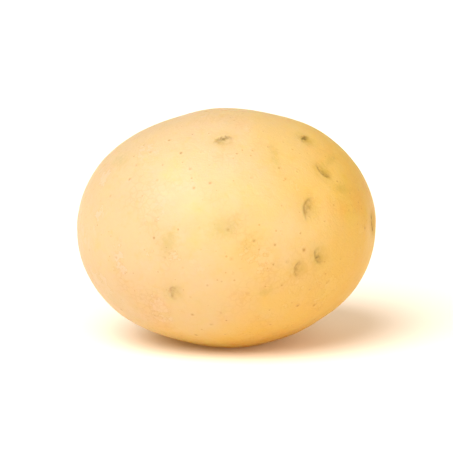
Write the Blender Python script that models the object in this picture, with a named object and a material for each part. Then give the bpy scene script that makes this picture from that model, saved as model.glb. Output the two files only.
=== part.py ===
"""Models a small new potato: one closed solid that lies on its side on a small flat spot.

Metres, +Z up. The origin is on the floor, under the middle of the potato. +X runs along the potato to its
rose end, where the eyes crowd, -X to its stem end, and -Y is its front.
A place on the skin is given by two angles in degrees: along, counted from the rose end (0) to the stem end
(180), and around, counted from the front (0) up over the top (90), the back (180) and the underside (270).
"""

import math
from typing import NamedTuple

import bmesh
import bpy
from mathutils import Vector

# Overall sizes, in metres.
LENGTH = 0.055
DEPTH = 0.048
HEIGHT = 0.0436

# How much of the underside is cut away by the flat spot that the potato rests on.
REST_SPOT_CUT = 0.00048

# The scar where the stolon broke off, beside the stem end's tip.
STEM_SCAR_ALONG = 171
STEM_SCAR_AROUND = 160
STEM_SCAR_WIDTH = 0.0075
STEM_SCAR_DEPTH = 0.0006

# Each eye is a shallow round dimple this deep for its width.
EYE_DEPTH_SHARE = 0.08

# Faces along each edge of the cube that is blown up into the body.
FACES_PER_EDGE = 24

SKIN_COLOUR = (0.89, 0.66, 0.33, 1.0)
SKIN_ROUGHNESS = 0.5


class Swell(NamedTuple):
    """A broad rise, or a hollow where the height is below 0, with its reach in degrees."""

    along: float
    around: float
    height: float
    reach: float


class Eye(NamedTuple):
    """A dimple at a bud, with its width in metres."""

    along: float
    around: float
    width: float


# What makes the body lopsided: a drooping stem end, a fuller shoulder at the rose end and a flatter back.
SWELLS = (
    Swell(along=150, around=100, height=-0.0002, reach=28),
    Swell(along=118, around=98, height=-0.0008, reach=26),
    Swell(along=70, around=102, height=-0.0007, reach=19),
    Swell(along=28, around=102, height=0.0006, reach=28),
    Swell(along=19, around=282, height=0.0006, reach=20),
    Swell(along=46, around=282, height=-0.0003, reach=22),
    Swell(along=120, around=282, height=-0.0006, reach=24),
    Swell(along=145, around=285, height=0.0005, reach=28),
    Swell(along=180, around=0, height=-0.0003, reach=30),
    Swell(along=88, around=195, height=-0.0007, reach=42),
    Swell(along=55, around=165, height=0.0005, reach=26),
    Swell(along=125, around=30, height=0.0004, reach=32),
)

# The eyes stand closer together towards the rose end, and one sits at its tip.
EYES = (
    Eye(along=91, around=56, width=0.0046),
    Eye(along=52, around=70, width=0.0046),
    Eye(along=44, around=48, width=0.0050),
    Eye(along=52, around=22, width=0.0060),
    Eye(along=48, around=-5, width=0.0048),
    Eye(along=113, around=-21, width=0.0044),
    Eye(along=8, around=20, width=0.0054),
    Eye(along=29, around=118, width=0.0050),
    Eye(along=31, around=246, width=0.0050),
    Eye(along=62, around=132, width=0.0060),
    Eye(along=55, around=186, width=0.0054),
    Eye(along=72, around=232, width=0.0056),
    Eye(along=98, around=170, width=0.0058),
    Eye(along=132, around=118, width=0.0052),
    Eye(along=124, around=222, width=0.0054),
)


def clear_scene():
    """Removes every object that the scene starts with."""
    for thing in list(bpy.data.objects):
        bpy.data.objects.remove(thing, do_unlink=True)


def direction(along, around):
    """The unit vector from the middle of the potato to a place on its skin."""
    turn_along = math.radians(along)
    turn_around = math.radians(around)
    sideways = math.sin(turn_along)
    return Vector(
        (
            math.cos(turn_along),
            -sideways * math.cos(turn_around),
            sideways * math.sin(turn_around),
        )
    )


def make_ball(body):
    """Adds a unit ball of nearly equal faces: a cube's grid, evened out by angle and blown up."""
    bmesh.ops.create_cube(body, size=2)
    bmesh.ops.subdivide_edges(
        body, edges=body.edges[:], cuts=FACES_PER_EDGE - 1, use_grid_fill=True
    )
    for vertex in body.verts:
        vertex.co = Vector([math.tan(math.pi / 4 * value) for value in vertex.co])
        vertex.co.normalize()


def stretch_to(body, sizes):
    """Scales the body about the origin and centres it, so that its box has these sizes."""
    for axis, size in enumerate(sizes):
        values = [vertex.co[axis] for vertex in body.verts]
        low, high = min(values), max(values)
        for vertex in body.verts:
            vertex.co[axis] = (vertex.co[axis] - (low + high) / 2) * size / (high - low)


def add_swells(body):
    """Pushes the skin out or in by each swell's height, which fades with the angle from its middle."""
    middles = [direction(swell.along, swell.around) for swell in SWELLS]
    for vertex in body.verts:
        outward = vertex.co.normalized()
        push = 0.0
        for swell, middle in zip(SWELLS, middles):
            angle = math.degrees(outward.angle(middle))
            push += swell.height * math.exp(-((angle / swell.reach) ** 2))
        vertex.co += outward * push


def dimple(body, along, around, width, depth):
    """Sinks a round dimple into the skin, with a soft rim."""
    towards = direction(along, around)
    nearest = max(body.verts, key=lambda vertex: vertex.co.normalized().dot(towards))
    middle = towards * nearest.co.length
    for vertex in body.verts:
        share = (vertex.co - middle).length / (width / 2)
        if share < 1:
            sink = depth * (1 + math.cos(math.pi * share)) / 2
            vertex.co -= vertex.co.normalized() * sink


def cut_rest_spot(body):
    """Cuts the underside flat and sets the body down on the floor."""
    lowest = min(vertex.co.z for vertex in body.verts)
    bmesh.ops.translate(body, verts=body.verts[:], vec=(0, 0, -lowest - REST_SPOT_CUT))
    bmesh.ops.bisect_plane(
        body,
        geom=body.verts[:] + body.edges[:] + body.faces[:],
        plane_co=(0, 0, 0),
        plane_no=(0, 0, 1),
        clear_inner=True,
    )
    rim = [edge for edge in body.edges if edge.is_boundary]
    bmesh.ops.edgeloop_fill(body, edges=rim)
    bmesh.ops.recalc_face_normals(body, faces=body.faces[:])


def skin_material():
    """The potato's pale yellow, satin skin."""
    material = bpy.data.materials.new("potato_skin")
    material.use_nodes = True
    shader = material.node_tree.nodes["Principled BSDF"]
    shader.inputs["Base Color"].default_value = SKIN_COLOUR
    shader.inputs["Roughness"].default_value = SKIN_ROUGHNESS
    shader.inputs["Metallic"].default_value = 0.0
    return material


def make_potato(collection):
    """Builds the whole potato as one closed solid."""
    body = bmesh.new()
    make_ball(body)
    stretch_to(body, (LENGTH, DEPTH, HEIGHT))
    add_swells(body)
    for eye in EYES:
        dimple(body, eye.along, eye.around, eye.width, eye.width * EYE_DEPTH_SHARE)
    dimple(body, STEM_SCAR_ALONG, STEM_SCAR_AROUND, STEM_SCAR_WIDTH, STEM_SCAR_DEPTH)
    stretch_to(body, (LENGTH, DEPTH, HEIGHT + REST_SPOT_CUT))
    cut_rest_spot(body)

    mesh = bpy.data.meshes.new("potato")
    body.to_mesh(mesh)
    body.free()
    mesh.materials.append(skin_material())
    mesh.shade_smooth()
    collection.objects.link(bpy.data.objects.new("potato", mesh))


clear_scene()
potato_collection = bpy.data.collections.new("potato")
bpy.context.scene.collection.children.link(potato_collection)
make_potato(potato_collection)
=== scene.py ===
"""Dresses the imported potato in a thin, pale yellow, satin skin with browed eyes, dots and a stem scar.

Metres, +Z up. The potato lies on its side on a small flat spot on the floor, z = 0. +X runs along it to its
rose end, where the eyes crowd, -X to its stem end, and -Y is its front. The tuber grew as one piece, so one
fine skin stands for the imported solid, and its eyes, dots and scar are shaped and coloured in that skin.
"""

import logging
import math
from dataclasses import dataclass, field
from enum import Enum

import bmesh
import bpy
import numpy as np
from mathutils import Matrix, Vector, noise
from mathutils.bvhtree import BVHTree


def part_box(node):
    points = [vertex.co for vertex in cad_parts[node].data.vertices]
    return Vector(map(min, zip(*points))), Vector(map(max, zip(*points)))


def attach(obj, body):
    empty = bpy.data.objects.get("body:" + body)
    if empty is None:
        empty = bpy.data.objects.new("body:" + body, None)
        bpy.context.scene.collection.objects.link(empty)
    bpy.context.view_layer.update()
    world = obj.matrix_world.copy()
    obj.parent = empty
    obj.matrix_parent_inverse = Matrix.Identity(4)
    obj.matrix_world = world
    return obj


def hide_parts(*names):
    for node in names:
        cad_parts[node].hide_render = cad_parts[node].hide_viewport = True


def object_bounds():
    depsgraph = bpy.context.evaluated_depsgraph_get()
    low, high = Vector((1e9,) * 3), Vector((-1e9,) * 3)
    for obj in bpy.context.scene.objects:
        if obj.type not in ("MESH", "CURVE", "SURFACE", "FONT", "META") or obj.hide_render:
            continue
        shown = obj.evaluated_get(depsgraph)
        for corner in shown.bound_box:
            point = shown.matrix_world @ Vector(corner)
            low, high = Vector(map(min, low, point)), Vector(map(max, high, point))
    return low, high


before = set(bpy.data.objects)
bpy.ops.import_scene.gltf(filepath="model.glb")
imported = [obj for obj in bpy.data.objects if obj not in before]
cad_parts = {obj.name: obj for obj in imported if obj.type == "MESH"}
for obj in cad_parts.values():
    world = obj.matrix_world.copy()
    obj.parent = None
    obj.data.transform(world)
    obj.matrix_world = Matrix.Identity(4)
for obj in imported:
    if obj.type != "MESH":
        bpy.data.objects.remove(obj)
CAD_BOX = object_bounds()

CAD_NODE = "potato"
SEED = 20
# A distance in a mark's own sizes that is further out than any mark reaches.
OUT_OF_REACH = 9.0
# The value around which a noise texture's clouds lie.
NOISE_MIDDLE = 0.5

Socket = bpy.types.NodeSocket
Colour = tuple[float, float, float, float]
Value = Socket | float | Colour
Box = tuple[Vector, Vector]

log = logging.getLogger("potato")


def bell(distance: np.ndarray, width: float) -> np.ndarray:
    """A smooth bell that is 1 at distance 0 and has faded by about two widths."""
    return np.exp(-((distance / width) ** 2))


def plateau(distance: np.ndarray, half_width: float) -> np.ndarray:
    """A flat-topped bell that is close to 1 in its middle and falls off quickly at its half-width."""
    return np.exp(-((distance / half_width) ** 4))


class EyeKind(Enum):
    """How many buds an eye has: none in a closed one, one that rests under its brow, or a group of three."""

    CLOSED = 0
    BUDDED = 1
    CLUSTERED = 3


@dataclass(frozen=True)
class Place:
    """A place on the skin, by two angles in degrees.

    along runs from the rose end (0) to the stem end (180). around runs from the front (0) up over the top
    (90) to the back (180) and the underside (270).
    """

    along: float
    around: float

    def direction(self) -> np.ndarray:
        """Works out which way this place lies.

        Returns:
            The unit vector from the middle of the potato to it.
        """
        along, around = math.radians(self.along), math.radians(self.around)
        sideways = math.sin(along)
        return np.array(
            [math.cos(along), -sideways * math.cos(around), sideways * math.sin(around)]
        )


@dataclass(frozen=True)
class Eye:
    """One eye: its place, the width of its brow in metres, its turn on the skin and how dark it is."""

    place: Place
    width: float
    kind: EyeKind = EyeKind.BUDDED
    turn: float = 0.0
    stain: float = 1.0


@dataclass(frozen=True)
class Blemish:
    """A faint discoloured patch: its place, its half-width and half-length in metres, and its turn."""

    place: Place
    width: float
    length: float
    turn: float = 0.0
    strength: float = 1.0


@dataclass(frozen=True)
class Survey:
    """Every point of the skin, measured from the nearest of some marks in that mark's sizes.

    nearest is that mark's number. local holds the way from it towards the rose end, across that and
    outwards, and away is how far it is. edge is how much further the second nearest mark is, so it is 0
    where the ground of two marks meets.
    """

    nearest: np.ndarray
    local: np.ndarray
    away: np.ndarray
    edge: np.ndarray

    def of_nearest(self, values: list[float]) -> np.ndarray:
        """Each point's value, out of one value for each mark."""
        return np.array(values)[self.nearest]


class Skin:
    """The fine skin as arrays: where each point is, which way is out, its lift and what is painted on it."""

    def __init__(self, mesh: bpy.types.Mesh) -> None:
        """Reads the mesh.

        Args:
            mesh: The fine, closed mesh of the potato.
        """
        self.mesh = mesh
        count = len(mesh.vertices)
        self.points = np.empty(count * 3, np.float32)
        mesh.vertices.foreach_get("co", self.points)
        self.points = self.points.reshape(-1, 3).astype(float)
        self.normals = np.empty(count * 3, np.float32)
        mesh.vertex_normals.foreach_get("vector", self.normals)
        self.normals = self.normals.reshape(-1, 3).astype(float)
        self.middle = (self.points.min(axis=0) + self.points.max(axis=0)) / 2
        self.lift = np.zeros(count)
        self.taken = np.zeros(count, bool)
        self.masks: dict[str, np.ndarray] = {}
        self.charts: dict[str, np.ndarray] = {}

    def at(self, place: Place) -> int:
        """Finds a place on the skin.

        Args:
            place: The place.

        Returns:
            The number of the point nearest to the ray from the middle through it.
        """
        outward = self.points - self.middle
        outward /= np.linalg.norm(outward, axis=1)[:, None]
        return int(np.argmax(outward @ place.direction()))

    def axes(self, centre: int, turn: float = 0.0) -> np.ndarray:
        """The frame of a mark on the skin.

        Args:
            centre: The number of the point that it is centred on.
            turn: Degrees that it is turned on the skin.

        Returns:
            Three rows: towards the rose end, across that and outwards.
        """
        normal = self.normals[centre]
        rose = np.array([1.0, 0.0, 0.0]) - normal[0] * normal
        rose /= np.linalg.norm(rose)
        across = np.cross(normal, rose)
        cosine, sine = math.cos(math.radians(turn)), math.sin(math.radians(turn))
        return np.array([cosine * rose + sine * across, cosine * across - sine * rose, normal])

    def survey(self, centres: list[int], sizes: list[float], turns: list[float]) -> Survey:
        """Measures every point from the nearest mark.

        Args:
            centres: The number of the point that each mark is centred on.
            sizes: Each mark's size, in metres.
            turns: Each mark's turn on the skin, in degrees.

        Returns:
            The survey.
        """
        count = len(self.points)
        nearest = np.zeros(count, int)
        first, second = np.full(count, np.inf), np.full(count, np.inf)
        for number, (centre, size) in enumerate(zip(centres, sizes)):
            distance = np.linalg.norm(self.points - self.points[centre], axis=1) / size
            nearer = distance < first
            second = np.where(nearer, first, np.minimum(second, distance))
            first = np.where(nearer, distance, first)
            nearest[nearer] = number
        local = np.empty((count, 3))
        for number, (centre, size, turn) in enumerate(zip(centres, sizes, turns)):
            own = nearest == number
            offset = self.points[own] - self.points[centre]
            local[own] = offset @ self.axes(centre, turn).T / size
        return Survey(nearest, local, first, np.minimum(second - first, OUT_OF_REACH))

    def push(self) -> None:
        """Moves the points out by their lift."""
        self.points += self.normals * self.lift[:, None]
        self.lift[:] = 0.0

    def store(self) -> None:
        """Writes the points and what is painted on them back to the mesh."""
        self.mesh.vertices.foreach_set("co", self.points.astype(np.float32).ravel())
        for name, values in self.masks.items():
            attribute = self.mesh.attributes.new(name, "FLOAT", "POINT")
            attribute.data.foreach_set("value", values.astype(np.float32))
        for name, vectors in self.charts.items():
            attribute = self.mesh.attributes.new(name, "FLOAT_VECTOR", "POINT")
            attribute.data.foreach_set("vector", vectors.astype(np.float32).ravel())
        self.mesh.update()


@dataclass
class TuberBody:
    """The tuber's fine body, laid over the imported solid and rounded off.

    cage_faces is the number of faces along each edge of the cube that the cage starts from, and levels how
    often its faces are then quartered. foot_press is how far its underside is pressed flat on the floor.
    """

    cage_faces: int = 32
    levels: int = 2
    smoothing_rounds: int = 6
    smoothing_share: float = 0.5
    foot_press: float = 0.00012

    def cage(self, solid: bpy.types.Object) -> bpy.types.Mesh:
        """Lays a cage of nearly equal faces over the solid.

        Args:
            solid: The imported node.

        Returns:
            The cage's mesh.
        """
        shape = bmesh.new()
        shape.from_mesh(solid.data)
        tree = BVHTree.FromBMesh(shape)
        shape.free()
        low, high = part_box(CAD_NODE)
        middle = (low + high) / 2
        reach = (high - low).length

        cage = bmesh.new()
        bmesh.ops.create_cube(cage, size=2)
        bmesh.ops.subdivide_edges(
            cage, edges=cage.edges[:], cuts=self.cage_faces - 1, use_grid_fill=True
        )
        # The tangents keep the faces nearly equal when the cube is blown up to a ball.
        for vertex in cage.verts:
            outward = Vector([math.tan(math.pi / 4 * value) for value in vertex.co])
            outward.normalize()
            hit = tree.ray_cast(middle + outward * reach, -outward, reach)[0]
            vertex.co = hit if hit is not None else middle
        for _ in range(self.smoothing_rounds):
            bmesh.ops.smooth_vert(
                cage,
                verts=cage.verts[:],
                factor=self.smoothing_share,
                use_axis_x=True,
                use_axis_y=True,
                use_axis_z=True,
            )
        mesh = bpy.data.meshes.new("cage")
        cage.to_mesh(mesh)
        cage.free()
        return mesh

    def build(self, solid: bpy.types.Object) -> bpy.types.Object:
        """Makes the fine body.

        Args:
            solid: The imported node.

        Returns:
            The piece, with its subdivision applied.
        """
        piece = bpy.data.objects.new("new_potato", self.cage(solid))
        bpy.context.scene.collection.objects.link(piece)
        rounding = piece.modifiers.new("rounding", "SUBSURF")
        rounding.levels = self.levels
        rounding.render_levels = self.levels
        graph = bpy.context.evaluated_depsgraph_get()
        fine = bpy.data.meshes.new_from_object(piece.evaluated_get(graph))
        piece.modifiers.clear()
        piece.data = fine
        piece.data.shade_smooth()
        return piece

    def fit(self, skin: Skin) -> None:
        """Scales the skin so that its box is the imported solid's again.

        Args:
            skin: The skin.
        """
        low, high = (np.array(corner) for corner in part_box(CAD_NODE))
        now_low, now_high = skin.points.min(axis=0), skin.points.max(axis=0)
        skin.points = low + (skin.points - now_low) * (high - low) / (now_high - now_low)

    def settle(self, skin: Skin) -> None:
        """Presses the finished skin's underside flat on the floor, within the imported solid's box.

        Args:
            skin: The skin.
        """
        self.fit(skin)
        floor = skin.points[:, 2].min()
        skin.points[:, 2] = np.maximum(skin.points[:, 2] - self.foot_press, floor)
        self.fit(skin)


@dataclass
class Undulation:
    """The soft unevenness of a grown skin: waves of several lengths, each with its height, in metres.

    shift is how far each wave is moved from the one before, in its own lengths, so that they don't line up.
    """

    waves: tuple[tuple[float, float], ...] = (
        (0.0160, 0.00030),
        (0.0070, 0.00013),
        (0.0030, 0.000045),
        (0.0012, 0.000014),
    )
    shift: tuple[float, float, float] = (7.3, 3.1, 5.7)
    floor_fade: float = 0.0015

    def carve(self, skin: Skin) -> None:
        """Adds the waves to the skin's lift, except close to the floor.

        Args:
            skin: The skin.
        """
        fade = np.clip(skin.points[:, 2] / self.floor_fade, 0, 1)
        along, across, up = self.shift
        for order, (length, height) in enumerate(self.waves):
            shift = Vector((along * order + SEED, across * order, up * order))
            waves = [noise.noise(Vector(point) / length + shift) for point in skin.points]
            skin.lift += height * np.array(waves) * fade


@dataclass
class EyeSet:
    """The potato's eyes: spaced closer towards the rose end, each with its brow on the stem end's side.

    Heights, depths and distances are shares of an eye's width. reach is how far an eye shapes the skin
    around it, and room how far it keeps the lenticels off.
    """

    eyes: tuple[Eye, ...] = (
        Eye(Place(91, 56), 0.0037, EyeKind.BUDDED, turn=-72, stain=0.88),
        Eye(Place(52, 70), 0.0033, EyeKind.BUDDED, turn=-25, stain=1.15),
        Eye(Place(44, 48), 0.0036, EyeKind.CLOSED, turn=62, stain=1.05),
        Eye(Place(52, 22), 0.0046, EyeKind.BUDDED, turn=-14, stain=0.55),
        Eye(Place(48, -5), 0.0034, EyeKind.BUDDED, turn=20, stain=0.75),
        Eye(Place(58, -10), 0.0032, EyeKind.CLOSED, turn=-10, stain=0.75),
        Eye(Place(113, -21), 0.0033, EyeKind.CLOSED, turn=5, stain=0.6),
        Eye(Place(8, 20), 0.0044, EyeKind.CLUSTERED, turn=35, stain=0.9),
        Eye(Place(29, 118), 0.0038, EyeKind.BUDDED, turn=-12, stain=0.8),
        Eye(Place(31, 246), 0.0038, EyeKind.BUDDED, turn=10, stain=0.9),
        Eye(Place(62, 132), 0.0048, EyeKind.CLUSTERED, turn=8, stain=0.9),
        Eye(Place(55, 186), 0.0042, EyeKind.BUDDED, turn=-6, stain=0.75),
        Eye(Place(72, 232), 0.0044, EyeKind.BUDDED, turn=12, stain=0.8),
        Eye(Place(98, 170), 0.0046, EyeKind.BUDDED, turn=-8, stain=0.8),
        Eye(Place(132, 118), 0.0038, EyeKind.CLOSED, turn=6, stain=0.65),
        Eye(Place(124, 222), 0.0042, EyeKind.BUDDED, turn=-4, stain=0.75),
    )
    reach: float = 2.0
    room: float = 0.8
    basin_depth: float = 0.07
    basin_length: float = 0.45
    basin_stretch: float = 1.2
    brow_bend: float = 0.8
    brow_set_back: float = 0.24
    half_brow: float = 0.46
    ridge_behind: float = 0.10
    ridge_height: float = 0.035
    ridge_width: float = 0.12
    crease_ahead: float = 0.04
    crease_depth: float = 0.045
    crease_width: float = 0.09
    closed_crease_share: float = 0.5
    bud_set_forward: float = 0.15
    bud_spacing: float = 0.26
    bud_height: float = 0.04
    bud_radius: float = 0.08

    def carve(self, skin: Skin) -> None:
        """Shapes every eye, and charts the skin around it for the finish.

        Args:
            skin: The skin.
        """
        widths = [eye.width for eye in self.eyes]
        centres = [skin.at(eye.place) for eye in self.eyes]
        survey = skin.survey(centres, widths, [eye.turn for eye in self.eyes])
        buds = survey.of_nearest([eye.kind.value for eye in self.eyes])
        rose, across = survey.local[:, 0], survey.local[:, 1]
        beyond_brow = rose - self.brow_bend * across**2 + self.brow_set_back
        from_bud = self.from_bud(beyond_brow, across, buds)

        ends = plateau(across, self.half_brow)
        basin = bell(rose, self.basin_length) * bell(across, self.basin_length * self.basin_stretch)
        ridge = bell(beyond_brow + self.ridge_behind, self.ridge_width) * ends
        crease = bell(beyond_brow - self.crease_ahead, self.crease_width) * ends
        lift = self.ridge_height * ridge - self.basin_depth * basin
        lift -= self.crease_depth * crease * np.where(buds > 0, 1.0, self.closed_crease_share)
        lift += self.bud_height * bell(from_bud, self.bud_radius)
        skin.lift += np.where(survey.away < self.reach, lift * survey.of_nearest(widths), 0.0)

        skin.taken |= survey.away < self.room
        skin.charts["eye_chart"] = np.stack([beyond_brow, across, from_bud], axis=1)
        skin.masks["eye_away"] = survey.away
        skin.masks["eye_edge"] = survey.edge
        skin.masks["eye_stain"] = survey.of_nearest([eye.stain for eye in self.eyes])

    def from_bud(self, beyond_brow: np.ndarray, across: np.ndarray, buds: np.ndarray) -> np.ndarray:
        """Measures how far each point is from the nearest bud.

        Args:
            beyond_brow: Each point's distance beyond the brow's line.
            across: Each point's distance to the side.
            buds: How many buds the nearest eye has.

        Returns:
            The distances, which are large where the eye has no bud.
        """
        sideways = np.abs(across)
        beside = np.minimum(sideways, np.abs(sideways - self.bud_spacing))
        sideways = np.where(buds > 1, beside, sideways)
        distance = np.hypot(beyond_brow - self.bud_set_forward, sideways)
        return np.where(buds > 0, distance, OUT_OF_REACH)


@dataclass
class StemScar:
    """The corky scar where the stolon broke off, with the stub of it in the middle.

    radius, the heights and the depth are in metres, and the other distances are in the scar's radii. Each
    of its bulges has a height, a number of times around the scar and a turn in radians. room is how far it
    keeps the lenticels off.
    """

    place: Place = Place(171, 160)
    radius: float = 0.0017
    bulges: tuple[tuple[float, int, float], ...] = ((0.12, 3, 0.6), (0.07, 7, 0.0))
    room: float = 1.5
    hollow_depth: float = 0.00030
    hollow_edge: float = 0.12
    rim_height: float = 0.00012
    rim_radius: float = 1.12
    rim_width: float = 0.28
    stub_height: float = 0.00032
    stub_radius: float = 0.35

    def carve(self, skin: Skin) -> None:
        """Shapes the scar, and charts the skin around it for the finish.

        Args:
            skin: The skin.
        """
        survey = skin.survey([skin.at(self.place)], [self.radius], [0.0])
        rose, across = survey.local[:, 0], survey.local[:, 1]
        angle = np.arctan2(across, rose)
        outline = np.ones(len(angle))
        for height, count, turn in self.bulges:
            outline += height * np.sin(count * angle + turn)
        away = survey.away / outline
        hollow = 1 / (1 + np.exp((away - 1) / self.hollow_edge))
        rim = bell(away - self.rim_radius, self.rim_width)
        stub = bell(away, self.stub_radius)
        skin.lift += self.rim_height * rim - self.hollow_depth * hollow + self.stub_height * stub
        skin.taken |= away < self.room
        skin.masks["scar_away"] = away


@dataclass
class Lenticels:
    """The skin's breathing pores: small raised dots with a sunken centre, scattered all over.

    closest and widest bound the room that each keeps to the next, and smallest and largest its radius. The
    higher room_power and size_power are, the more of them keep little room or are small. height_share is a
    share of its radius, and the two reaches are in its radii. palest is the tone of the faintest.
    """

    count: int = 300
    closest: float = 0.0018
    widest: float = 0.0060
    room_power: float = 2.0
    smallest: float = 0.00016
    largest: float = 0.00040
    size_power: float = 1.6
    height_share: float = 0.10
    dot_reach: float = 1.3
    centre_reach: float = 0.6
    centre_depth: float = 0.8
    palest: float = 0.15
    off_floor: float = 0.0008

    def scatter(self, skin: Skin) -> tuple[list[int], list[float]]:
        """Scatters the lenticels at random, each with its own room, off the eyes, the scar and the foot.

        Args:
            skin: The skin that they are scattered over.

        Returns:
            The point that each is centred on, and its radius.
        """
        random = np.random.default_rng(SEED)
        free = np.flatnonzero(~skin.taken & (skin.points[:, 2] > self.off_floor))
        centres: list[int] = []
        radii: list[float] = []
        for candidate in random.permutation(free):
            if len(centres) == self.count:
                break
            room = self.closest + (self.widest - self.closest) * random.random() ** self.room_power
            gaps = np.linalg.norm(skin.points[centres] - skin.points[candidate], axis=1)
            if centres and gaps.min() < room:
                continue
            centres.append(int(candidate))
            share = random.random() ** self.size_power
            radii.append(self.smallest + (self.largest - self.smallest) * share)
        return centres, radii

    def carve(self, skin: Skin) -> None:
        """Shapes the lenticels, and charts the skin around them for the finish.

        Args:
            skin: The skin.
        """
        centres, radii = self.scatter(skin)
        survey = skin.survey(centres, radii, [0.0] * len(centres))
        dot = bell(survey.away, self.dot_reach) - self.centre_depth * bell(survey.away, self.centre_reach)
        skin.lift += self.height_share * survey.of_nearest(radii) * dot
        tones = np.random.default_rng(SEED + 1).uniform(self.palest, 1.0, len(centres))
        skin.charts["pore_chart"] = survey.local
        skin.masks["pore_edge"] = survey.edge
        skin.masks["pore_tone"] = survey.of_nearest(tones)
        log.info("lenticels: %d", len(centres))


@dataclass
class Blemishes:
    """Faint greenish and rubbed patches. depth is how far in each one goes, so it stays on its own side."""

    depth: float = 0.008

    patches: tuple[Blemish, ...] = (
        Blemish(Place(91, 12), 0.0030, 0.0022, turn=20, strength=0.95),
        Blemish(Place(115, 4), 0.0030, 0.0018, turn=70, strength=0.8),
        Blemish(Place(80, 4), 0.0028, 0.0018, turn=60, strength=0.5),
        Blemish(Place(68, 48), 0.0012, 0.0042, turn=5, strength=0.6),
        Blemish(Place(73, -19), 0.0016, 0.0012, turn=0, strength=0.6),
        Blemish(Place(36, 40), 0.0024, 0.0010, turn=20, strength=0.7),
        Blemish(Place(40, 62), 0.0030, 0.0009, turn=62, strength=0.7),
        Blemish(Place(84, 205), 0.0040, 0.0026, turn=30, strength=0.7),
        Blemish(Place(110, 140), 0.0034, 0.0018, turn=80, strength=0.6),
        Blemish(Place(60, 290), 0.0030, 0.0020, turn=15, strength=0.6),
        Blemish(Place(140, 60), 0.0022, 0.0036, turn=30, strength=0.5),
    )

    def paint(self, skin: Skin) -> None:
        """Paints every patch into one mask.

        Args:
            skin: The skin.
        """
        mask = np.zeros(len(skin.points))
        for patch in self.patches:
            centre = skin.at(patch.place)
            local = (skin.points - skin.points[centre]) @ skin.axes(centre, patch.turn).T
            away = np.hypot(local[:, 0] / patch.width, local[:, 1] / patch.length)
            near = np.abs(local[:, 2]) < self.depth
            mask += np.where(near, patch.strength * bell(away, 1.0), 0.0)
        skin.masks["blemish"] = mask


@dataclass(frozen=True)
class Ramp:
    """A smooth step, by the value where it starts, at 0, and the value where it is full, at 1."""

    start: float
    full: float


@dataclass(frozen=True)
class Band:
    """A soft band that is full at its middle and has faded at a width to either side."""

    middle: float
    width: float


@dataclass(frozen=True)
class Clouds:
    """Cloudy noise: how long its clouds are, in metres, how much detail they hold and how rough that is."""

    length: float
    detail: float = 2.0
    rough: float = 0.5


@dataclass(frozen=True)
class Patches:
    """Cloudy patches: the clouds that they are cut from, and the ramp from bare skin to a full patch."""

    clouds: Clouds
    ramp: Ramp


@dataclass(frozen=True)
class Net:
    """A wavering net: how long its meshes are, in metres, and how thick its threads, as a share of that."""

    length: float
    thread: float


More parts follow.
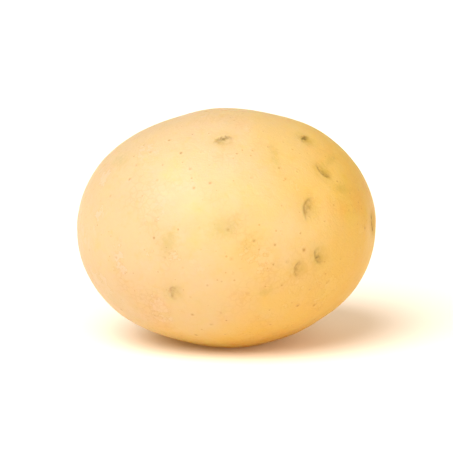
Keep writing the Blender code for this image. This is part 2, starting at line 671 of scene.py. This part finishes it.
class NodeSheet:
    """A material's node tree, with short ways to add and join its nodes."""

    def __init__(self, material: bpy.types.Material) -> None:
        """Takes a material's tree.

        Args:
            material: The material, whose tree already holds a Principled BSDF.
        """
        self.tree = material.node_tree
        self.shader = self.tree.nodes["Principled BSDF"]
        self.place = self.add("ShaderNodeTexCoord").outputs["Object"]

    def add(self, kind: str, **settings: str) -> bpy.types.Node:
        """Adds a node.

        Args:
            kind: Its Blender type.
            settings: Its properties, by name.

        Returns:
            The node.
        """
        node = self.tree.nodes.new(kind)
        for name, value in settings.items():
            setattr(node, name, value)
        return node

    def feed(self, socket: Socket, value: Value) -> None:
        """Joins another node's output to a socket, or sets the socket's own value.

        Args:
            socket: The socket to feed.
            value: The output to join to it, or a plain value.
        """
        if isinstance(value, bpy.types.NodeSocket):
            self.tree.links.new(value, socket)
        else:
            socket.default_value = value

    def mask(self, name: str) -> Socket:
        """One of the skin's painted values."""
        return self.add("ShaderNodeAttribute", attribute_name=name).outputs["Fac"]

    def chart(self, name: str) -> Socket:
        """One of the skin's charts, as a vector."""
        return self.add("ShaderNodeAttribute", attribute_name=name).outputs["Vector"]

    def split(self, vector: Socket) -> tuple[Socket, Socket, Socket]:
        """Takes a vector apart.

        Args:
            vector: The vector.

        Returns:
            Its three numbers.
        """
        node = self.add("ShaderNodeSeparateXYZ")
        self.feed(node.inputs[0], vector)
        return node.outputs[0], node.outputs[1], node.outputs[2]

    def length(self, vector: Socket) -> Socket:
        """Measures a vector.

        Args:
            vector: The vector.

        Returns:
            How long it is.
        """
        node = self.add("ShaderNodeVectorMath", operation="LENGTH")
        self.feed(node.inputs[0], vector)
        return node.outputs["Value"]

    def math(self, operation: str, first: Value, second: Value = 0.0) -> Socket:
        """Works out a sum, a product or another calculation.

        Args:
            operation: Which one, by the Math node's name for it.
            first: The first value.
            second: The second value, for an operation that takes two.

        Returns:
            What it comes to.
        """
        node = self.add("ShaderNodeMath", operation=operation)
        self.feed(node.inputs[0], first)
        self.feed(node.inputs[1], second)
        return node.outputs[0]

    def chain(self, operation: str, values: tuple[Value, ...]) -> Socket:
        """Works out the same operation over several values, from the first to the last.

        Args:
            operation: Which one, by the Math node's name for it.
            values: The values, two or more.

        Returns:
            What it comes to.
        """
        result = values[0]
        for value in values[1:]:
            result = self.math(operation, result, value)
        return result

    def plus(self, *values: Value) -> Socket:
        """The sum of some values."""
        return self.chain("ADD", values)

    def times(self, *values: Value) -> Socket:
        """The product of some values."""
        return self.chain("MULTIPLY", values)

    def clouds(self, clouds: Clouds) -> Socket:
        """Adds cloudy noise, from 0 to 1.

        Args:
            clouds: The clouds' sizes.

        Returns:
            The noise.
        """
        node = self.add("ShaderNodeTexNoise")
        self.feed(node.inputs["Vector"], self.place)
        node.inputs["Scale"].default_value = 1 / clouds.length
        node.inputs["Detail"].default_value = clouds.detail
        node.inputs["Roughness"].default_value = clouds.rough
        return node.outputs[0]

    def unevenness(self, clouds: Clouds) -> Socket:
        """Cloudy noise to either side of 0."""
        return self.math("SUBTRACT", self.clouds(clouds), NOISE_MIDDLE)

    def patches(self, patches: Patches) -> Socket:
        """Cloudy patches, 1 where they are full and 0 between them."""
        return self.step(self.clouds(patches.clouds), patches.ramp)

    def step(self, value: Value, ramp: Ramp) -> Socket:
        """Puts a value through a smooth step.

        Args:
            value: The value.
            ramp: Where the step starts and where it is full.

        Returns:
            A value from 0 to 1.
        """
        node = self.add("ShaderNodeMapRange", interpolation_type="SMOOTHSTEP")
        self.feed(node.inputs["Value"], value)
        node.inputs["From Min"].default_value = ramp.start
        node.inputs["From Max"].default_value = ramp.full
        return node.outputs["Result"]

    def band(self, value: Value, band: Band) -> Socket:
        """1 where a value is at a band's middle, fading to 0 at its width to either side."""
        off = self.math("ABSOLUTE", self.math("SUBTRACT", value, band.middle))
        return self.step(off, Ramp(band.width, 0.0))

    def blend(self, way: str, share: Value, tone: Value, other: Value) -> Socket:
        """Blends another colour into a tone.

        Args:
            way: How, by the Mix node's name for it.
            share: How much of the other colour there is, from 0 to 1.
            tone: The tone.
            other: The other colour.

        Returns:
            The new tone.
        """
        node = self.add("ShaderNodeMix", data_type="RGBA", blend_type=way)
        self.feed(node.inputs["Factor"], share)
        self.feed(node.inputs["A"], tone)
        self.feed(node.inputs["B"], other)
        return node.outputs["Result"]

    def cover(self, share: Value, tone: Value, other: Value) -> Socket:
        """A tone that is covered with another one by a share."""
        return self.blend("MIX", share, tone, other)

    def tint(self, share: Value, tone: Value, tint: Value) -> Socket:
        """A tone that is multiplied by a tint by a share."""
        return self.blend("MULTIPLY", share, tone, tint)

    def net(self, net: Net) -> Socket:
        """Adds a wavering net of fine threads.

        Args:
            net: The net's sizes.

        Returns:
            1 on a thread and 0 in the meshes.
        """
        waver = self.add("ShaderNodeTexNoise")
        self.feed(waver.inputs["Vector"], self.place)
        waver.inputs["Scale"].default_value = 1 / net.length
        shifted = self.add("ShaderNodeVectorMath", operation="MULTIPLY_ADD")
        self.feed(shifted.inputs[0], waver.outputs["Color"])
        shifted.inputs[1].default_value = (net.length, net.length, net.length)
        self.feed(shifted.inputs[2], self.place)
        cells = self.add("ShaderNodeTexVoronoi", feature="DISTANCE_TO_EDGE")
        self.feed(cells.inputs["Vector"], shifted.outputs["Vector"])
        cells.inputs["Scale"].default_value = 1 / net.length
        return self.step(cells.outputs["Distance"], Ramp(net.thread, 0.0))


@dataclass(frozen=True)
class Palette:
    """The skin's colours.

    cream, straw, gold_and_shade and amber_and_shade are the ground tones, from cool to warm, and cork is the
    scar's; the golden and orange ones also paint warm shade towards the floor and the rose end. The rest are
    tints, which the tone under them is multiplied by.
    """

    cream: Colour = (0.545, 0.400, 0.222, 1.0)
    straw: Colour = (0.557, 0.394, 0.166, 1.0)
    # Golden: the skin's own tone in places, and painted warm shade towards the floor and the rose end.
    gold_and_shade: Colour = (0.575, 0.364, 0.068, 1.0)
    # Orange: painted warm shade at the foot, and partly the skin's own tone at the rose end.
    amber_and_shade: Colour = (0.570, 0.300, 0.025, 1.0)
    cork: Colour = (0.30, 0.185, 0.095, 1.0)
    peach: Colour = (1.04, 0.90, 0.94, 1.0)
    lime: Colour = (0.95, 1.04, 0.84, 1.0)
    honey: Colour = (0.99, 0.95, 0.76, 1.0)
    pale: Colour = (1.03, 1.10, 1.42, 1.0)
    tan: Colour = (0.84, 0.75, 0.58, 1.0)
    olive: Colour = (0.74, 0.73, 0.42, 1.0)
    moss: Colour = (0.76, 0.83, 0.58, 1.0)
    umber: Colour = (0.46, 0.38, 0.24, 1.0)
    dark: Colour = (0.26, 0.20, 0.13, 1.0)


PALETTE = Palette()


@dataclass(frozen=True)
class Wash:
    """A tint laid on in cloudy patches, with its share where they are full."""

    tint: Colour
    patches: Patches
    share: float


@dataclass(frozen=True)
class GroundToneAndPaintedShade:
    """The skin's ground tone and painted shade: cream on top, golden towards the rose end and the floor,
    under soft washes. Low down the golden to orange tone is painted warm shade; towards the rose end it is
    partly the skin's own tone and partly painted warm shade.

    rose_tone_and_painted_shade and painted_shade_towards_floor are what warms the tone along the potato and
    down it, in metres, each with its share of the warming. warm_tones_and_shade holds each warm tone, with
    the ramp of warming over which it takes over.
    """

    # Partly the skin's own golden tone and partly painted warm shade, towards the rose end.
    rose_tone_and_painted_shade: tuple[tuple[Ramp, float], ...] = (
        (Ramp(-0.020, 0.028), 0.55),
        (Ramp(0.012, 0.030), 0.32),
    )
    # Painted warm shade: the tone turns golden and orange, darker and more saturated, towards the floor.
    painted_shade_towards_floor: tuple[tuple[Ramp, float], ...] = (
        (Ramp(0.024, 0.0), 0.20),
        (Ramp(0.009, 0.0), 0.50),
    )
    clouds: Clouds = Clouds(0.015, detail=3.0)
    cloud_share: float = 0.7
    warm_tones_and_shade: tuple[tuple[Ramp, Colour], ...] = (
        (Ramp(0.0, 0.4), PALETTE.straw),
        (Ramp(0.25, 0.75), PALETTE.gold_and_shade),
        (Ramp(0.65, 1.25), PALETTE.amber_and_shade),
    )
    washes: tuple[Wash, ...] = (
        Wash(PALETTE.peach, Patches(Clouds(0.0085, detail=3.0), Ramp(0.47, 0.72)), 0.35),
        Wash(PALETTE.lime, Patches(Clouds(0.011, rough=0.6), Ramp(0.42, 0.22)), 0.9),
        Wash(PALETTE.honey, Patches(Clouds(0.0024, detail=4.0, rough=0.62), Ramp(0.5, 0.78)), 0.8),
        Wash(PALETTE.pale, Patches(Clouds(0.0031, detail=4.0, rough=0.65), Ramp(0.48, 0.25)), 0.25),
    )

    def paint(self, sheet: NodeSheet) -> Socket:
        """Builds the ground tone.

        Args:
            sheet: The skin's node tree.

        Returns:
            The tone.
        """
        along, _, height = sheet.split(sheet.place)
        # The warming adds painted shade low down and at the rose end to random clouds of tone.
        warmth_and_painted_shade = sheet.plus(
            *(sheet.times(sheet.step(along, ramp), share) for ramp, share in self.rose_tone_and_painted_shade),
            *(sheet.times(sheet.step(height, ramp), share) for ramp, share in self.painted_shade_towards_floor),
            sheet.times(sheet.unevenness(self.clouds), self.cloud_share),
        )
        tone = PALETTE.cream
        for ramp, warm_tones_and_shade in self.warm_tones_and_shade:
            tone = sheet.cover(sheet.step(warmth_and_painted_shade, ramp), tone, warm_tones_and_shade)
        for wash in self.washes:
            tone = sheet.tint(sheet.times(sheet.patches(wash.patches), wash.share), tone, wash.tint)
        return tone


@dataclass(frozen=True)
class Netting:
    """The faint net of a maturing skin, in places, and the russet net around the stem scar.

    near_scar is in the scar's radii.
    """

    threads: Net = Net(0.0013, 0.16)
    places: Patches = Patches(Clouds(0.009, detail=3.0), Ramp(0.46, 0.7))
    thread_share: float = 0.30
    near_scar: Ramp = Ramp(4.4, 0.8)
    torn: Patches = Patches(Clouds(0.0016, detail=4.0, rough=0.65), Ramp(0.34, 0.66))
    coarse_cracks: Net = Net(0.0011, 0.13)
    fine_cracks: Net = Net(0.0004, 0.22)
    crack_share: float = 0.60
    russet_share: float = 0.45

    def paint(self, sheet: NodeSheet, tone: Value) -> Socket:
        """Adds the nets.

        Args:
            sheet: The skin's node tree.
            tone: The tone under them.

        Returns:
            The new tone.
        """
        threads = sheet.times(sheet.net(self.threads), sheet.patches(self.places), self.thread_share)
        tone = sheet.tint(threads, tone, PALETTE.tan)
        russet = sheet.times(sheet.step(sheet.mask("scar_away"), self.near_scar), sheet.patches(self.torn))
        cracks = sheet.math("MAXIMUM", sheet.net(self.coarse_cracks), sheet.net(self.fine_cracks))
        tone = sheet.cover(sheet.times(cracks, russet, self.crack_share), tone, PALETTE.cork)
        return sheet.tint(sheet.times(russet, self.russet_share), tone, PALETTE.tan)


@dataclass(frozen=True)
class Flakes:
    """What washing leaves of a thin young skin: paler rubbed flakes with fine edges, and specks.

    A speck is cut from a cell speck_cell metres long, and speck_size is the largest one's share of it.
    """

    rub: Clouds = Clouds(0.0052, detail=6.0, rough=0.68)
    places: Patches = Patches(Clouds(0.013), Ramp(0.45, 0.62))
    flake: Ramp = Ramp(0.585, 0.60)
    flake_share: float = 0.50
    edge: Band = Band(0.583, 0.012)
    edge_share: float = 0.60
    speck_cell: float = 0.0015
    speck_size: float = 0.16
    speck_edge: Ramp = Ramp(-0.01, 0.04)
    speck_share: float = 0.85

    def paint(self, sheet: NodeSheet, tone: Value) -> Socket:
        """Adds the flakes and the specks.

        Args:
            sheet: The skin's node tree.
            tone: The tone under them.

        Returns:
            The new tone.
        """
        rub = sheet.clouds(self.rub)
        places = sheet.patches(self.places)
        flakes = sheet.times(sheet.step(rub, self.flake), places, self.flake_share)
        tone = sheet.tint(flakes, tone, PALETTE.pale)
        edges = sheet.times(sheet.band(rub, self.edge), places, self.edge_share)
        tone = sheet.tint(edges, tone, PALETTE.tan)
        cells = sheet.add("ShaderNodeTexVoronoi", feature="F1")
        sheet.feed(cells.inputs["Vector"], sheet.place)
        cells.inputs["Scale"].default_value = 1 / self.speck_cell
        size, _, _ = sheet.split(cells.outputs["Color"])
        inside = sheet.math("SUBTRACT", sheet.times(size, size, self.speck_size), cells.outputs["Distance"])
        specks = sheet.times(sheet.step(inside, self.speck_edge), self.speck_share)
        return sheet.tint(specks, tone, PALETTE.tan)


@dataclass(frozen=True)
class BlemishTone:
    """The colour of the greenish patches. fray is how far their edges wander."""

    fray: float = 1.1
    patch: Ramp = Ramp(0.05, 0.8)
    share: float = 0.6

    def paint(self, sheet: NodeSheet, tone: Value, fray: Socket) -> Socket:
        """Adds the patches to a tone, with their edges frayed."""
        ragged = sheet.plus(sheet.mask("blemish"), sheet.times(fray, self.fray))
        return sheet.tint(sheet.times(sheet.step(ragged, self.patch), self.share), tone, PALETTE.moss)


@dataclass(frozen=True)
class PoreTone:
    """The lenticels' colour: tan dots, some hardly to be seen, each in a paler ring.

    Distances are in a lenticel's radii. fray is how far its edge wanders, and border the ground that it
    keeps from the next one.
    """

    fray: float = 0.9
    border: Ramp = Ramp(0.5, 1.5)
    ring: Band = Band(1.6, 0.8)
    ring_share: float = 0.16
    dot: Ramp = Ramp(1.6, 0.3)
    dot_share: float = 0.75
    centre: Ramp = Ramp(0.8, 0.1)
    centre_share: float = 0.55

    def measure(self, sheet: NodeSheet, fray: Socket) -> tuple[Socket, Socket]:
        """How far the nearest lenticel is, in its radii, and 1 where no other is as near."""
        away = sheet.plus(sheet.length(sheet.chart("pore_chart")), sheet.times(fray, self.fray))
        return away, sheet.step(sheet.mask("pore_edge"), self.border)

    def paint(self, sheet: NodeSheet, tone: Value, fray: Socket) -> Socket:
        """Adds the lenticels.

        Args:
            sheet: The skin's node tree.
            tone: The tone under them.
            fray: The unevenness that frays the edges of marks.

        Returns:
            The new tone.
        """
        away, own = self.measure(sheet, fray)
        strength = sheet.times(own, sheet.mask("pore_tone"))
        ring = sheet.times(sheet.band(away, self.ring), strength, self.ring_share)
        tone = sheet.tint(ring, tone, PALETTE.pale)
        dot = sheet.times(sheet.step(away, self.dot), strength, self.dot_share)
        tone = sheet.tint(dot, tone, PALETTE.tan)
        centre = sheet.times(sheet.step(away, self.centre), strength, strength, self.centre_share)
        return sheet.tint(centre, tone, PALETTE.umber)


@dataclass(frozen=True)
class ScarTone:
    """The stem scar's colour: cork, with a dark ring around its stub and a brown rim.

    Distances are in the scar's radii. fray is how far its edges wander.
    """

    fray: float = 0.5
    cork: Ramp = Ramp(1.25, 0.85)
    ring: Band = Band(0.62, 0.3)
    ring_share: float = 0.7
    rim: Band = Band(1.2, 0.22)
    rim_share: float = 0.5

    def paint(self, sheet: NodeSheet, tone: Value, fray: Socket) -> Socket:
        """Adds the scar.

        Args:
            sheet: The skin's node tree.
            tone: The tone around it.
            fray: The unevenness that frays the edges of marks.

        Returns:
            The new tone.
        """
        away = sheet.plus(sheet.mask("scar_away"), sheet.times(fray, self.fray))
        tone = sheet.cover(sheet.step(away, self.cork), tone, PALETTE.cork)
        tone = sheet.tint(sheet.times(sheet.band(away, self.ring), self.ring_share), tone, PALETTE.dark)
        return sheet.tint(sheet.times(sheet.band(away, self.rim), self.rim_share), tone, PALETTE.umber)


@dataclass(frozen=True)
class EyeTone:
    """The eyes' colour: a soft olive halo, a brown line under the brow and a dark bud.

    Distances are in an eye's widths: those of ridge, hollow and crease are beyond the brow's line. Each fray
    is how far an edge wanders, and each least is what stays of a colour between the clouds.
    """

    brow_fray: float = 0.40
    bud_fray: float = 0.20
    halo_fray: float = 0.35
    border: Ramp = Ramp(0.1, 0.45)
    clouds: Patches = Patches(Clouds(0.0012, detail=3.0, rough=0.65), Ramp(0.3, 0.62))
    inside: Ramp = Ramp(0.95, 0.6)
    ends: Ramp = Ramp(0.56, 0.25)
    halo: Ramp = Ramp(0.9, 0.0)
    halo_least: float = 0.5
    halo_clouds: float = 0.5
    halo_share: float = 0.9
    ridge: Band = Band(-0.15, 0.14)
    ridge_share: float = 0.18
    hollow: Band = Band(0.12, 0.26)
    hollow_least: float = 0.2
    hollow_share: float = 0.42
    crease: Band = Band(0.03, 0.10)
    crease_least: float = 0.15
    crease_share: float = 0.5
    bud: Ramp = Ramp(0.15, 0.02)
    bud_share: float = 0.55

    def paint(self, sheet: NodeSheet, tone: Value, fray: Socket) -> Socket:
        """Adds the eyes.

        Args:
            sheet: The skin's node tree.
            tone: The tone around them.
            fray: The unevenness that frays the edges of marks.

        Returns:
            The new tone.
        """
        beyond, across, from_bud = sheet.split(sheet.chart("eye_chart"))
        beyond = sheet.plus(beyond, sheet.times(fray, self.brow_fray))
        from_bud = sheet.plus(from_bud, sheet.times(fray, self.bud_fray))
        away = sheet.plus(sheet.mask("eye_away"), sheet.times(fray, self.halo_fray))
        own = sheet.times(sheet.step(sheet.mask("eye_edge"), self.border), sheet.mask("eye_stain"))
        clouds = sheet.patches(self.clouds)
        inside = sheet.times(own, sheet.step(away, self.inside))
        under_brow = sheet.times(inside, sheet.step(sheet.math("ABSOLUTE", across), self.ends))

        halo_clouds = sheet.plus(self.halo_least, sheet.times(clouds, self.halo_clouds))
        halo = sheet.times(own, sheet.step(away, self.halo), halo_clouds)
        tone = sheet.tint(sheet.times(halo, self.halo_share), tone, PALETTE.olive)
        ridge = sheet.times(under_brow, sheet.band(beyond, self.ridge))
        tone = sheet.tint(sheet.times(ridge, self.ridge_share), tone, PALETTE.pale)
        hollow_clouds = sheet.plus(self.hollow_least, clouds)
        hollow = sheet.times(under_brow, sheet.band(beyond, self.hollow), hollow_clouds)
        tone = sheet.tint(sheet.times(hollow, self.hollow_share), tone, PALETTE.umber)
        crease_clouds = sheet.plus(self.crease_least, clouds)
        crease = sheet.times(under_brow, sheet.band(beyond, self.crease), crease_clouds)
        tone = sheet.tint(sheet.times(crease, self.crease_share), tone, PALETTE.umber)
        bud = sheet.times(inside, sheet.step(from_bud, self.bud))
        return sheet.tint(sheet.times(bud, self.bud_share), tone, PALETTE.dark)


@dataclass(frozen=True)
class Relief:
    """The skin's fine relief: a grain, soft pebbles, the lenticels' rims and pits, and the net.

    depth is in metres. Each share is that form's part of it, and one below 0 goes inwards.
    """

    depth: float = 0.00014
    strength: float = 0.70
    fray: Clouds = Clouds(0.0005)
    grain: Clouds = Clouds(0.00030, detail=3.0, rough=0.6)
    grain_share: float = 0.35
    pebbles: Clouds = Clouds(0.0015)
    pebble_share: float = 0.65
    rim: Band = Band(1.0, 0.7)
    rim_share: float = 0.15
    pit: Ramp = Ramp(0.6, 0.1)
    pit_share: float = -0.25
    net: Net = Net(0.0013, 0.2)
    net_share: float = -0.10

    def shape(self, sheet: NodeSheet, pores: PoreTone) -> Socket:
        """Builds the relief.

        Args:
            sheet: The skin's node tree.
            pores: The lenticels, which the relief has to meet.

        Returns:
            The bumped normal.
        """
        away, own = pores.measure(sheet, sheet.unevenness(self.fray))
        heights = sheet.plus(
            sheet.times(sheet.clouds(self.grain), self.grain_share),
            sheet.times(sheet.clouds(self.pebbles), self.pebble_share),
            sheet.times(sheet.band(away, self.rim), own, self.rim_share),
            sheet.times(sheet.step(away, self.pit), own, self.pit_share),
            sheet.times(sheet.net(self.net), self.net_share),
        )
        bump = sheet.add("ShaderNodeBump")
        bump.inputs["Strength"].default_value = self.strength
        bump.inputs["Distance"].default_value = self.depth
        sheet.feed(bump.inputs["Height"], heights)
        return bump.outputs["Normal"]


@dataclass(frozen=True)
class Dullness:
    """The skin's roughness: satin, with duller clouds, eyes and scar.

    eye is in an eye's widths and scar in the scar's radii. Each share is what is added to satin.
    """

    satin: float = 0.45
    clouds: Clouds = Clouds(0.004, detail=3.0)
    cloud_share: float = 0.25
    bloom: Clouds = Clouds(0.0006)
    bloom_share: float = 0.12
    eye: Ramp = Ramp(0.8, 0.2)
    eye_share: float = 0.18
    scar: Ramp = Ramp(1.6, 1.0)
    scar_share: float = 0.3

    def spread(self, sheet: NodeSheet) -> Socket:
        """Builds the roughness.

        Args:
            sheet: The skin's node tree.

        Returns:
            The roughness.
        """
        return sheet.plus(
            self.satin,
            sheet.times(sheet.unevenness(self.clouds), self.cloud_share),
            sheet.times(sheet.unevenness(self.bloom), self.bloom_share),
            sheet.times(sheet.step(sheet.mask("eye_away"), self.eye), self.eye_share),
            sheet.times(sheet.step(sheet.mask("scar_away"), self.scar), self.scar_share),
        )


@dataclass(frozen=True)
class SkinFinish:
    """The finish of a washed new potato's skin: satin, slightly translucent, cream to golden, with painted
    warm shade towards the floor and the rose end.

    light_reach is how far red, green and blue light spread under the skin, in metres.
    """

    ground: GroundToneAndPaintedShade = GroundToneAndPaintedShade()
    netting: Netting = Netting()
    flakes: Flakes = Flakes()
    blemishes: BlemishTone = BlemishTone()
    pores: PoreTone = PoreTone()
    scar: ScarTone = ScarTone()
    eyes: EyeTone = EyeTone()
    relief: Relief = Relief()
    dullness: Dullness = Dullness()
    fray: Clouds = Clouds(0.0007, detail=3.0, rough=0.6)
    refraction: float = 1.42
    translucency: float = 0.75
    light_reach: tuple[float, float, float] = (0.0040, 0.0020, 0.0007)

    def colour(self, sheet: NodeSheet) -> Socket:
        """Builds the skin's colour, from the ground tone up to the marks.

        Args:
            sheet: The skin's node tree.

        Returns:
            The colour.
        """
        fray = sheet.unevenness(self.fray)
        tone = self.flakes.paint(sheet, self.netting.paint(sheet, self.ground.paint(sheet)))
        for mark in (self.blemishes, self.pores, self.scar, self.eyes):
            tone = mark.paint(sheet, tone, fray)
        return tone

    def build(self) -> bpy.types.Material:
        """Makes the material.

        Returns:
            The skin's material.
        """
        material = bpy.data.materials.new("potato_skin")
        material.use_nodes = True
        sheet = NodeSheet(material)
        shader = sheet.shader
        sheet.feed(shader.inputs["Base Color"], self.colour(sheet))
        sheet.feed(shader.inputs["Roughness"], self.dullness.spread(sheet))
        sheet.feed(shader.inputs["Normal"], self.relief.shape(sheet, self.pores))
        shader.inputs["IOR"].default_value = self.refraction
        shader.inputs["Subsurface Weight"].default_value = self.translucency
        shader.inputs["Subsurface Radius"].default_value = self.light_reach
        shader.inputs["Subsurface Scale"].default_value = 1.0
        return material


@dataclass(frozen=True)
class FloorFinish:
    """The plain, warm white floor."""

    colour: Colour = (0.92, 0.87, 0.79, 1.0)
    roughness: float = 0.9
    gloss: float = 0.0
    glow: Colour = (1.0, 0.50, 0.15, 1.0)
    glow_power: float = 0.12

    def build(self) -> bpy.types.Material:
        """Makes the material.

        Returns:
            The floor's material.
        """
        material = bpy.data.materials.new("white_floor")
        material.use_nodes = True
        shader = material.node_tree.nodes["Principled BSDF"]
        shader.inputs["Base Color"].default_value = self.colour
        shader.inputs["Roughness"].default_value = self.roughness
        shader.inputs["Specular IOR Level"].default_value = self.gloss
        shader.inputs["Emission Color"].default_value = self.glow
        shader.inputs["Emission Strength"].default_value = self.glow_power
        return material


@dataclass
class NewPotato:
    """The whole potato: its body, what shapes its skin, and its finish."""

    body: TuberBody = field(default_factory=TuberBody)
    undulation: Undulation = field(default_factory=Undulation)
    eyes: EyeSet = field(default_factory=EyeSet)
    scar: StemScar = field(default_factory=StemScar)
    lenticels: Lenticels = field(default_factory=Lenticels)
    blemishes: Blemishes = field(default_factory=Blemishes)
    finish: SkinFinish = field(default_factory=SkinFinish)

    def build(self) -> bpy.types.Object:
        """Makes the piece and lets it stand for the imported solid.

        Returns:
            The finished piece.
        """
        piece = self.body.build(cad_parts[CAD_NODE])
        skin = Skin(piece.data)
        self.undulation.carve(skin)
        self.eyes.carve(skin)
        self.scar.carve(skin)
        self.lenticels.carve(skin)
        self.blemishes.paint(skin)
        skin.push()
        self.body.settle(skin)
        skin.store()
        piece.data.materials.append(self.finish.build())
        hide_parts(CAD_NODE)
        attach(piece, "root")
        return piece


@dataclass(frozen=True)
class SoftSun:
    """A large, even light: where it comes from, how wide it spreads in degrees, and its power."""

    name: str
    come_from: tuple[float, float, float]
    spread: float
    power: float

    def hang(self) -> None:
        """Adds the light to the scene."""
        lamp = bpy.data.lights.new(self.name, "SUN")
        lamp.angle = math.radians(self.spread)
        lamp.energy = self.power
        light = bpy.data.objects.new(self.name, lamp)
        light.location = self.come_from
        light.rotation_euler = (-Vector(self.come_from)).to_track_quat("-Z", "Y").to_euler()
        bpy.context.scene.collection.objects.link(light)


@dataclass
class Studio:
    """A white floor in a white room, soft light from the upper left and the right, and the camera.

    The camera looks down by elevation degrees from a distance in metres, and the potato's length fills
    frame_share of its frame. sensor is in millimetres, and sight is the furthest that the camera sees.
    """

    floor_size: float = 8.0
    backdrop: Colour = (1.0, 1.0, 1.0, 1.0)
    backdrop_light: float = 1.0
    room_light: float = 0.60
    room_tint: Colour = (1.0, 0.84, 0.66, 1.0)
    suns: tuple[SoftSun, ...] = (
        SoftSun("key", (-0.50, -0.75, 1.0), 50.0, 3.95),
        SoftSun("front", (0.85, -1.0, 0.4), 60.0, 1.15),
    )
    elevation: float = 12.0
    distance: float = 1.2
    frame_share: float = 0.66
    sensor: float = 36.0
    sight: float = 50.0

    def lay_floor(self) -> None:
        """Lays the floor at z = 0."""
        shape = bmesh.new()
        bmesh.ops.create_grid(shape, x_segments=1, y_segments=1, size=self.floor_size / 2)
        mesh = bpy.data.meshes.new("floor")
        shape.to_mesh(mesh)
        shape.free()
        mesh.materials.append(FloorFinish().build())
        floor = bpy.data.objects.new("floor", mesh)
        bpy.context.scene.collection.objects.link(floor)

    def light_room(self) -> None:
        """Makes the surroundings white to look at, and a soft, slightly warm light to stand in."""
        world = bpy.data.worlds.new("white_room")
        bpy.context.scene.world = world
        world.use_nodes = True
        tree = world.node_tree
        backdrop = tree.nodes["Background"]
        backdrop.inputs["Color"].default_value = self.backdrop
        backdrop.inputs["Strength"].default_value = self.backdrop_light
        fill = tree.nodes.new("ShaderNodeBackground")
        fill.inputs["Color"].default_value = self.room_tint
        fill.inputs["Strength"].default_value = self.room_light
        seen = tree.nodes.new("ShaderNodeLightPath")
        either = tree.nodes.new("ShaderNodeMixShader")
        tree.links.new(seen.outputs["Is Camera Ray"], either.inputs[0])
        tree.links.new(fill.outputs[0], either.inputs[1])
        tree.links.new(backdrop.outputs[0], either.inputs[2])
        tree.links.new(either.outputs[0], tree.nodes["World Output"].inputs["Surface"])

    def aim(self, box: Box) -> None:
        """Sets the camera in front of the potato, a little above it.

        Args:
            box: The potato's lowest and highest corner.
        """
        low, high = box
        middle = (low + high) / 2
        lens = bpy.data.cameras.new("camera")
        lens.sensor_width = self.sensor
        lens.lens = self.sensor * self.distance * self.frame_share / (high.x - low.x)
        lens.clip_end = self.sight
        camera = bpy.data.objects.new("camera", lens)
        tilt = math.radians(self.elevation)
        camera.location = middle + self.distance * Vector((0, -math.cos(tilt), math.sin(tilt)))
        camera.rotation_euler = (math.pi / 2 - tilt, 0, 0)
        bpy.context.scene.collection.objects.link(camera)
        bpy.context.scene.camera = camera

    def build(self, box: Box) -> None:
        """Makes the whole studio around the potato.

        Args:
            box: The potato's lowest and highest corner.
        """
        self.lay_floor()
        self.light_room()
        for sun in self.suns:
            sun.hang()
        self.aim(box)
        bpy.context.scene.view_settings.view_transform = "Standard"


def main() -> None:
    """Builds the potato and its studio."""
    logging.basicConfig(level=logging.INFO, format="%(name)s: %(message)s")
    piece = NewPotato().build()
    log.info("%s: %d faces", piece.name, len(piece.data.polygons))
    Studio().build(CAD_BOX)


if __name__ == "__main__":
    main()
